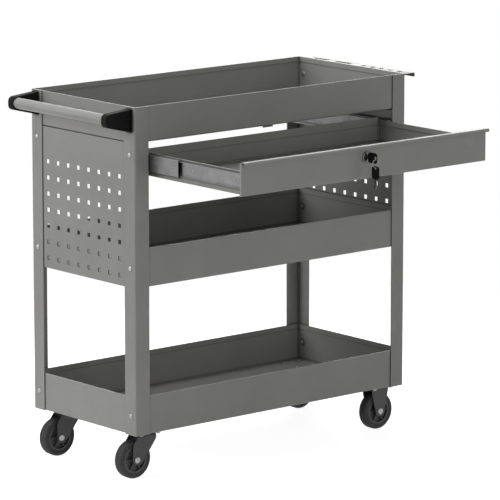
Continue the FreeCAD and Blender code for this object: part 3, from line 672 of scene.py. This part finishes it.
def solids_of(node):
    """Points of each separate solid that one CAD node holds, read from a merged copy of it."""
    edit_all(copy_of(NODES[node], node + "_copy"))
    bpy.ops.mesh.remove_doubles(threshold=MERGE_DISTANCE)
    bpy.ops.mesh.separate(type="LOOSE")
    bpy.ops.object.mode_set(mode="OBJECT")
    loose = list(bpy.context.selected_objects)
    points = [[vertex.co.copy() for vertex in piece.data.vertices] for piece in loose]
    bpy.ops.object.delete()
    return points


def box_of(points):
    """Lowest and highest corner of some points."""
    low = Vector([min(point[i] for point in points) for i in range(3)])
    high = Vector([max(point[i] for point in points) for i in range(3)])
    return low, high


def fastener_places(node, along):
    """Middle, length and outward axis of each fastener in a group that lies along one axis."""
    places = []
    for points in solids_of(node):
        low, high = box_of(points)
        middle = (low + high) / 2
        across = [i for i in range(3) if i != along]
        reach = [sum((point[i] - middle[i]) ** 2 for i in across) for point in points]
        widest = max(reach)
        head = [point[along] for point, far in zip(points, reach) if far > HEAD_SHARE * widest]
        side = 1.0 if sum(head) / len(head) > middle[along] else -1.0
        axis = Vector([side if i == along else 0.0 for i in range(3)])
        places.append((middle, high[along] - low[along], axis))
    return places


def bolt_profile(settings, length):
    """Half outline of a low round-headed bolt whose seat is at height 0."""
    radius, edge = settings.head_radius, settings.head_edge
    dome = settings.head_height - edge
    sphere = (radius ** 2 + dome ** 2) / (2 * dome)
    crown = [radius * i / CROWN_STEPS for i in range(CROWN_STEPS + 1)]
    points = [(x, edge + dome - sphere + math.sqrt(sphere ** 2 - x ** 2)) for x in crown]
    shank, root = settings.shank_radius, settings.shank_radius - settings.thread_depth
    points += [(radius, 0.0), (shank, 0.0)]
    start = -length + (settings.thread_turns + 0.5) * settings.thread_pitch
    for i in range(settings.thread_turns):
        crest = start - i * settings.thread_pitch
        points += [(shank, crest), (root, crest - settings.thread_pitch / 2)]
    points += [(root, -length), (0.0, -length)]
    return points


def sink_cross(piece, half, arm, floor, top):
    """Sinks a cross recess into a round head with two crossed bars."""
    bar = block("recess_bar", (-half, -arm, floor), (half, arm, top))
    other = block("recess_cross_bar", (-arm, -half, floor), (arm, half, top))
    cut_by(bar, other, "UNION")
    cut_by(piece, bar)


def make_bolts(settings, node, along, recessed):
    """Models one bolt of each length in a group, copies it to its places and joins the copies."""
    height = settings.head_height
    copies = []
    models = {}
    for i, (middle, reach, axis) in enumerate(fastener_places(node, along)):
        length = round(reach - height, LENGTH_DIGITS)
        if length not in models:
            models[length] = turned(node + "_model", bolt_profile(settings, length), BOLT_STEPS)
            if recessed:
                sink_cross(models[length], settings.recess_length / 2, settings.recess_width / 2,
                           height - settings.recess_depth, 2 * height)
        copies.append(copy_on(models[length], f"{node}_{i}", middle + axis * (reach / 2 - height), axis))
    remove(*models.values())
    dress(joined(node + "_turned", copies), "fastener_zinc", "cart", node)


class CART_OT_bolts(bpy.types.Operator):
    """Round-headed bolts with thread ends: plain on the trays, cross-recessed on the handle and casters"""
    bl_idname = "cart.bolts"
    bl_label = "Bolts"

    def execute(self, context):
        settings = context.scene.cart_fastener
        make_bolts(settings, "tray_bolts", X_AXIS, recessed=False)
        make_bolts(settings, "handle_bolts", X_AXIS, recessed=True)
        make_bolts(settings, "caster_bolts", Z_AXIS, recessed=True)
        return {"FINISHED"}


def nut_model(settings, flats, height):
    """Hexagon nut about the origin, cut from a longer bar, with turned corners and a hole."""
    start_clean()
    corner = flats / math.sqrt(3.0)
    bpy.ops.mesh.primitive_cylinder_add(vertices=6, radius=corner, depth=2 * height)
    nut = bpy.context.active_object
    half, fall = height / 2, settings.nut_chamfer
    face, outside = NUT_FACE * flats / 2, NUT_LENS * corner
    edge = half - fall * (outside - face) / (corner - face)
    lens = turned("nut_lens", [(0.0, -half), (face, -half), (outside, -edge), (outside, edge), (face, half),
                               (0.0, half)], NUT_STEPS)
    cut_by(nut, lens, "INTERSECT")
    thread = settings.shank_radius
    flare = thread + settings.thread_depth
    bore = turned("nut_bore", [(0.0, -height), (flare, -height), (flare, -half), (thread, fall - half),
                               (thread, half - fall), (flare, half), (flare, height), (0.0, height)],
                  BOLT_STEPS)
    cut_by(nut, bore)
    clear_slivers(nut)
    return nut


class CART_OT_nuts(bpy.types.Operator):
    """Hexagon nuts of the trays and casters"""
    bl_idname = "cart.nuts"
    bl_label = "Nuts"

    def execute(self, context):
        settings = context.scene.cart_fastener
        for node, along in (("tray_nuts", X_AXIS), ("caster_nuts", Z_AXIS)):
            low, high = box_of(solids_of(node)[0])
            size = high - low
            flats = min(size[i] for i in range(3) if i != along)
            model = nut_model(settings, flats, size[along])
            copies = [copy_on(model, f"{node}_{i}", middle, axis)
                      for i, (middle, _, axis) in enumerate(fastener_places(node, along))]
            remove(model)
            dress(joined(node + "_chamfered", copies), "fastener_zinc", "cart", node)
        return {"FINISHED"}


def tyre_profile(settings, rim_radius, radius, half_width):
    """Outline of a tyre's section: beaded sides, round shoulders and two grooves round the tread."""
    half_rim, shoulder = settings.rim_width / 2, settings.tread_round
    side = radius - shoulder - rim_radius
    slope = (half_width - half_rim) / side
    lower = [(rim_radius, -half_rim)]
    for share, rise in TYRE_BEAD:
        lower.append((rim_radius + share * side, -half_rim - slope * share * side - rise * settings.bead))
    lower += arc((radius - shoulder, shoulder - half_width), shoulder, -90.0, 0.0, SHOULDER_STEPS)
    half_groove, depth = settings.groove_width / 2, settings.groove_depth
    middle = -(half_width - shoulder) / 2
    lower += [(radius, middle - half_groove), (radius - depth, middle - half_groove / 2),
              (radius - depth, middle + half_groove / 2), (radius, middle + half_groove)]
    upper = [(x, -z) for x, z in reversed(lower)]
    return lower + upper + lower[:1]


class CART_OT_tyres(bpy.types.Operator):
    """Rubber tyres of the four casters, with grooved treads and beaded sides"""
    bl_idname = "cart.tyres"
    bl_label = "Tyres"

    def execute(self, context):
        settings = context.scene.cart_wheel
        names = [name for name in NODES if name.startswith("tyre_")]
        low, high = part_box(names[0])
        rim_low, rim_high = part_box(names[0].replace("tyre", "hub"))
        profile = tyre_profile(settings, (rim_high.z - rim_low.z) / 2, (high.z - low.z) / 2,
                               (high.y - low.y) / 2)
        model = turned("tyre_model", profile, TYRE_STEPS)
        for name in names:
            low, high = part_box(name)
            tyre = copy_on(model, name + "_grooved", (low + high) / 2, ALONG_Y)
            dress(tyre, "tyre_rubber", name.replace("tyre", "wheel"), name)
        remove(model)
        return {"FINISHED"}


class CART_OT_slide_balls(bpy.types.Operator):
    """Rows of steel balls in the cages between the slide members"""
    bl_idname = "cart.slide_balls"
    bl_label = "Slide balls"

    def execute(self, context):
        settings = context.scene.cart_slide
        profile = arc((0.0, 0.0), settings.ball_radius, -90.0, 90.0, BALL_ARC_STEPS)
        ball = turned("ball_model", profile, BALL_STEPS)
        for cages, body in (("ball_cages_outer", "outer_ball_cages"),
                            ("ball_cages_inner", "inner_ball_cages")):
            copies = []
            for low, high in (box_of(points) for points in solids_of(cages)):
                middle = (low + high) / 2
                pitch = (high.y - low.y) / settings.balls
                for height in (low.z + settings.cage_gauge / 2, high.z - settings.cage_gauge / 2):
                    for i in range(settings.balls):
                        seat = (middle.x, low.y + (i + 0.5) * pitch, height)
                        copies.append(copy_on(ball, f"{cages}_ball_{len(copies)}", seat, UPRIGHT))
            dress(joined(cages.replace("cages", "rows"), copies), "slide_zinc", body)
        remove(ball)
        return {"FINISHED"}


def screw_model(settings, fastener):
    """Low round screw head on a stub of its shank, with a cross recess."""
    radius, height = settings.screw_radius, settings.screw_height
    shank = radius * SCREW_SHANK
    profile = [(radius * out, height * up) for out, up in SCREW_CROWN]
    profile += [(shank, 0.0), (shank, -settings.web_gauge), (0.0, -settings.web_gauge)]
    screw = turned("screw_model", profile, SCREW_STEPS)
    sink_cross(screw, radius * SCREW_RECESS, fastener.recess_width / 2, height * SCREW_RECESS_FLOOR,
               2 * height)
    return screw


class CART_OT_slide_screws(bpy.types.Operator):
    """Low-headed screws that hold the slides' inner members to the drawer"""
    bl_idname = "cart.slide_screws"
    bl_label = "Slide screws"

    def execute(self, context):
        settings = context.scene.cart_slide
        model = screw_model(settings, context.scene.cart_fastener)
        copies = []
        for node, side in (("slide_inner_left", -1.0), ("slide_inner_right", 1.0)):
            low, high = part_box(node)
            web = high.x if side < 0 else low.x
            first, last = low.y + settings.screw_inset, high.y - settings.screw_inset
            for i in range(settings.screws):
                along = first + (last - first) * i / (settings.screws - 1)
                seat = (web + side * settings.web_gauge, along, (low.z + high.z) / 2)
                copies.append(copy_on(model, f"{node}_screw_{i}", seat, (side, 0.0, 0.0)))
        remove(model)
        dress(joined("slide_screws", copies), "fastener_zinc", "drawer")
        return {"FINISHED"}


def key_bow(settings, name, gauge, width):
    """Head of a key, its blade's side at the origin, its ring's side towards -Y, with sunk thumb faces."""
    length, half = settings.bow_length, gauge / 2
    bow = block(name, (-width / 2, -length, -half), (width / 2, 0.0, half))
    pick_edges(bow, lambda a, b: abs(a.z - b.z) > half)
    round_off(settings.bow_round, BOW_STEPS)
    pick_edges(bow, lambda a, b: abs(a.z - b.z) < MERGE_DISTANCE)
    round_off(settings.edge, BOW_EDGE_STEPS)
    pick_faces(bow, lambda normal: abs(normal.z) > FLAT_NORMAL)
    bpy.ops.mesh.inset(thickness=settings.rim, depth=0.0, use_individual=True)
    bpy.ops.mesh.inset(thickness=settings.recess, depth=-settings.recess, use_individual=True)
    bpy.ops.object.mode_set(mode="OBJECT")
    return bow


def key_blade(settings, name, length):
    """Blade of a key along +Y from the origin, with a groove along each side and a tapered tip."""
    gauge = settings.blade_gauge
    half, thick = settings.blade_width / 2, gauge / 2
    blade = block(name, (-half, -settings.blade_root, -thick), (half, length, thick))
    pick_edges(blade, lambda a, b: min(a.y, b.y) > length - MERGE_DISTANCE and abs(a.z - b.z) > thick)
    round_off(half * TIP_TAPER, TIP_STEPS)
    groove = settings.groove_width / 2
    for side in (-1.0, 1.0):
        middle = side * half * GROOVE_OFFSET
        floor = side * (thick - settings.groove_depth)
        low = (middle - groove, -2 * settings.blade_root, min(floor, side * gauge))
        high = (middle + groove, 2 * length, max(floor, side * gauge))
        cut_by(blade, block(name + "_groove", low, high))
    return blade


def cut_bitting(settings, blade, length):
    """Cuts the row of notches into a blade's +X edge, each with a four-sided bar."""
    for i, depth in enumerate(settings.cut_depths):
        start_clean()
        bpy.ops.mesh.primitive_cylinder_add(
            vertices=4, radius=1.0, depth=2 * settings.blade_width,
            location=(settings.blade_width / 2, length - settings.cut_start - i * settings.cut_pitch, 0.0))
        notch = bpy.context.active_object
        notch.scale = (depth, settings.cut_pitch / 2, 1.0)
        apply_place(notch)
        cut_by(blade, notch)


def seat_key(piece, turn, seat, slot, body, node):
    """Turns a flat key piece upright, moves its origin to seat and dresses it."""
    piece.rotation_euler = turn
    piece.location = seat
    apply_place(piece)
    dress(piece, slot, body, node)


class CART_OT_keys(bpy.types.Operator):
    """Key in the lock and spare key on the ring, each a moulded head on a plated blade"""
    bl_idname = "cart.keys"
    bl_label = "Keys"

    def execute(self, context):
        settings = context.scene.cart_key
        low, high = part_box("lock_key")
        gauge, width = high.x - low.x, high.z - low.z
        end = settings.bow_length
        bow = key_bow(settings, "lock_key_bow", gauge, width)
        across, along = settings.slot_width / 2, settings.slot_length
        slot = block("ring_slot", (-across, settings.slot_edge - end, -gauge),
                     (across, settings.slot_edge + along - end, gauge))
        pick_edges(slot, lambda a, b: abs(a.z - b.z) > gauge)
        round_off(settings.slot_round, SLOT_STEPS)
        cut_by(bow, slot)
        place = (KEY_IN_LOCK, (0.0, low.y + end, (low.z + high.z) / 2))
        seat_key(bow, *place, "black_plastic", "lock_turning_parts", "lock_key")
        blade = key_blade(settings, "lock_key_blade", high.y - low.y - end)
        seat_key(blade, *place, "lock_nickel", "lock_turning_parts", "lock_key")

        low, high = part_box("spare_key")
        bow = key_bow(settings, "spare_key_bow", gauge, width)
        radius = settings.hole_radius
        hole = turned("ring_hole", [(0.0, -gauge), (radius, -gauge), (radius, gauge), (0.0, gauge)],
                      BOLT_STEPS)
        set_on(hole, (0.0, settings.hole_edge + radius - end, 0.0), UPRIGHT)
        cut_by(bow, hole)
        place = (KEY_HANGING, (0.0, (low.y + high.y) / 2, high.z - end))
        seat_key(bow, *place, "black_plastic", "hanging_keys", "spare_key")
        length = high.z - low.z - end
        blade = key_blade(settings, "spare_key_blade", length)
        cut_bitting(settings, blade, length)
        seat_key(blade, *place, "lock_nickel", "hanging_keys", "spare_key")
        return {"FINISHED"}


class CART_OT_key_ring(bpy.types.Operator):
    """Split ring of flat wire, coiled twice, that holds the spare key"""
    bl_idname = "cart.key_ring"
    bl_label = "Key ring"

    def execute(self, context):
        settings = context.scene.cart_key
        low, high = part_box("key_ring")
        radius = (high.z - low.z) / 2 - (high.y - low.y) / 2
        pitch = settings.wire_width + 2 * MERGE_DISTANCE
        start_clean()
        bpy.ops.mesh.primitive_plane_add(size=1.0, rotation=(math.pi / 2, 0.0, 0.0))
        ring = bpy.context.active_object
        ring.name = "split_key_ring"
        ring.scale = (settings.wire_height, settings.wire_width, 1.0)
        ring.location = (radius, 0.0, -pitch * settings.ring_turns / 2)
        apply_place(ring)
        edit_all(ring)
        bpy.ops.mesh.bevel(offset=settings.wire_width / 4, segments=WIRE_STEPS, affect="VERTICES")
        bpy.ops.mesh.select_all(action="SELECT")
        bpy.ops.mesh.delete(type="ONLY_FACE")
        bpy.ops.object.mode_set(mode="OBJECT")
        coil = ring.modifiers.new("coil", "SCREW")
        coil.axis = "Z"
        coil.angle = FULL_TURN
        coil.screw_offset = pitch
        coil.iterations = settings.ring_turns
        coil.steps = RING_STEPS
        coil.render_steps = RING_STEPS
        bpy.ops.object.modifier_apply(modifier=coil.name)
        edit_all(ring)
        bpy.ops.mesh.fill_holes(sides=0)
        bpy.ops.mesh.select_all(action="SELECT")
        bpy.ops.mesh.normals_make_consistent(inside=False)
        bpy.ops.object.mode_set(mode="OBJECT")
        set_on(ring, (low + high) / 2, ALONG_Y)
        dress(ring, "fastener_zinc", "hanging_keys", "key_ring")
        return {"FINISHED"}


def seen_white(tree, plain, white):
    """Mixes two shaders: white for camera, glossy and transmission rays, plain for the light itself."""
    path = add_node(tree, "ShaderNodeLightPath")
    seen = arithmetic(tree, "MAXIMUM", path.outputs["Is Camera Ray"], path.outputs["Is Glossy Ray"])
    seen = arithmetic(tree, "MAXIMUM", seen, path.outputs["Is Transmission Ray"])
    return add_node(tree, "ShaderNodeMixShader", {0: seen, 1: plain, 2: white}).outputs["Shader"]


def white_world(ambient):
    """Room that is seen as white and gives a little light of its own."""
    world = bpy.data.worlds.new("white_room")
    world.use_nodes = True
    tree = world.node_tree
    tree.nodes.clear()
    room = add_node(tree, "ShaderNodeBackground", {"Color": WHITE, "Strength": ambient})
    shown = add_node(tree, "ShaderNodeBackground", {"Color": WHITE, "Strength": 1.0})
    mixed = seen_white(tree, room.outputs["Background"], shown.outputs["Background"])
    add_node(tree, "ShaderNodeOutputWorld", {"Surface": mixed})
    bpy.context.scene.world = world


def pale_floor():
    """Wide pale floor that keeps the cart's shadow and fades into the white room."""
    start_clean()
    bpy.ops.mesh.primitive_plane_add(size=FLOOR_WIDTH, location=(0.0, 0.0, 0.0))
    floor = bpy.context.active_object
    floor.name = "floor"
    material = bpy.data.materials.new("pale_floor")
    material.use_nodes = True
    tree = material.node_tree
    tree.nodes.clear()
    dull = add_node(tree, "ShaderNodeBsdfDiffuse", {"Color": FLOOR_GREY})
    glow = add_node(tree, "ShaderNodeEmission", {"Color": WHITE, "Strength": FLOOR_GLOW})
    lit = add_node(tree, "ShaderNodeAddShader", {0: dull.outputs["BSDF"], 1: glow.outputs["Emission"]})
    white = add_node(tree, "ShaderNodeEmission", {"Color": WHITE, "Strength": 1.0})
    place = add_node(tree, "ShaderNodeTexCoord").outputs["Object"]
    reach = add_node(tree, "ShaderNodeVectorMath", {0: place}, operation="LENGTH").outputs["Value"]
    away = between(tree, reach, FLOOR_NEAR, FLOOR_FAR)
    shown = add_node(tree, "ShaderNodeMixShader",
                     {0: away, 1: lit.outputs["Shader"], 2: white.outputs["Emission"]})
    mixed = seen_white(tree, dull.outputs["BSDF"], shown.outputs["Shader"])
    add_node(tree, "ShaderNodeOutputMaterial", {"Surface": mixed})
    floor.data.materials.append(material)


def soft_light(name, power, size, place, aim):
    """Square lamp at place, turned towards aim."""
    start_clean()
    bpy.ops.object.light_add(type="AREA", location=place)
    lamp = bpy.context.active_object
    lamp.name = name
    lamp.data.energy = power
    lamp.data.size = size
    lamp.rotation_mode = "QUATERNION"
    lamp.rotation_quaternion = (Vector(aim) - Vector(place)).to_track_quat("-Z", "Y")


def photo_camera(stage):
    """Camera at the photograph's angle, with a long lens and no shift."""
    turn, rise = stage.azimuth, stage.elevation
    back = Vector((-math.sin(turn) * math.cos(rise), -math.cos(turn) * math.cos(rise), math.sin(rise)))
    right = Vector((math.cos(turn), -math.sin(turn), 0.0))
    up = back.cross(right)
    middle = Vector((0.0, 0.0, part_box("top_tray")[1].z / 2))
    aim = middle + right * stage.aim_right + up * stage.aim_up
    bpy.ops.object.camera_add(location=aim + back * stage.distance)
    camera = bpy.context.active_object
    camera.rotation_mode = "QUATERNION"
    camera.rotation_quaternion = (-back).to_track_quat("-Z", "Y")
    camera.data.lens = stage.lens
    camera.data.sensor_width = SENSOR_WIDTH
    camera.data.clip_end = VIEW_DEPTH
    bpy.context.scene.camera = camera


class CART_OT_stage(bpy.types.Operator):
    """Set up the white room, its lights and the camera"""
    bl_idname = "cart.stage"
    bl_label = "Studio and camera"

    def execute(self, context):
        stage = context.scene.cart_stage
        context.scene.view_settings.view_transform = "Standard"
        white_world(stage.ambient)
        pale_floor()
        for name, power, size, place, aim in LIGHTS:
            soft_light(name, getattr(stage, power), size, place, aim)
        photo_camera(stage)
        return {"FINISHED"}


OPERATORS = (CART_OT_finishes, CART_OT_bolts, CART_OT_nuts, CART_OT_tyres, CART_OT_slide_balls,
             CART_OT_slide_screws, CART_OT_keys, CART_OT_key_ring, CART_OT_stage)
SETTINGS = {
    "cart_paint": CartPaintSettings,
    "cart_metal": CartMetalSettings,
    "cart_plastic": CartPlasticSettings,
    "cart_fastener": CartFastenerSettings,
    "cart_wheel": CartWheelSettings,
    "cart_slide": CartSlideSettings,
    "cart_key": CartKeySettings,
    "cart_stage": CartStageSettings,
}


class CART_PT_pieces(bpy.types.Panel):
    """Lists the cart's settings and the operators that make its pieces"""
    bl_idname = "CART_PT_pieces"
    bl_label = "Utility cart"
    bl_space_type = "VIEW_3D"
    bl_region_type = "UI"
    bl_category = "Cart"

    def draw(self, context):
        for name, group in SETTINGS.items():
            box = self.layout.box()
            for field in group.__annotations__:
                box.prop(getattr(context.scene, name), field)
        for operator in OPERATORS:
            self.layout.operator(operator.bl_idname)


def register():
    for group in SETTINGS.values():
        bpy.utils.register_class(group)
    for name, group in SETTINGS.items():
        setattr(bpy.types.Scene, name, PointerProperty(type=group))
    for kind in (*OPERATORS, CART_PT_pieces):
        bpy.utils.register_class(kind)


def unregister():
    for kind in (CART_PT_pieces, *reversed(OPERATORS)):
        bpy.utils.unregister_class(kind)
    for name, group in SETTINGS.items():
        delattr(bpy.types.Scene, name)
        bpy.utils.unregister_class(group)


def main():
    register()
    bpy.ops.cart.finishes()
    bpy.ops.cart.bolts()
    bpy.ops.cart.nuts()
    bpy.ops.cart.tyres()
    bpy.ops.cart.slide_balls()
    bpy.ops.cart.slide_screws()
    bpy.ops.cart.keys()
    bpy.ops.cart.key_ring()
    bpy.ops.cart.stage()


if __name__ == "__main__":
    main()
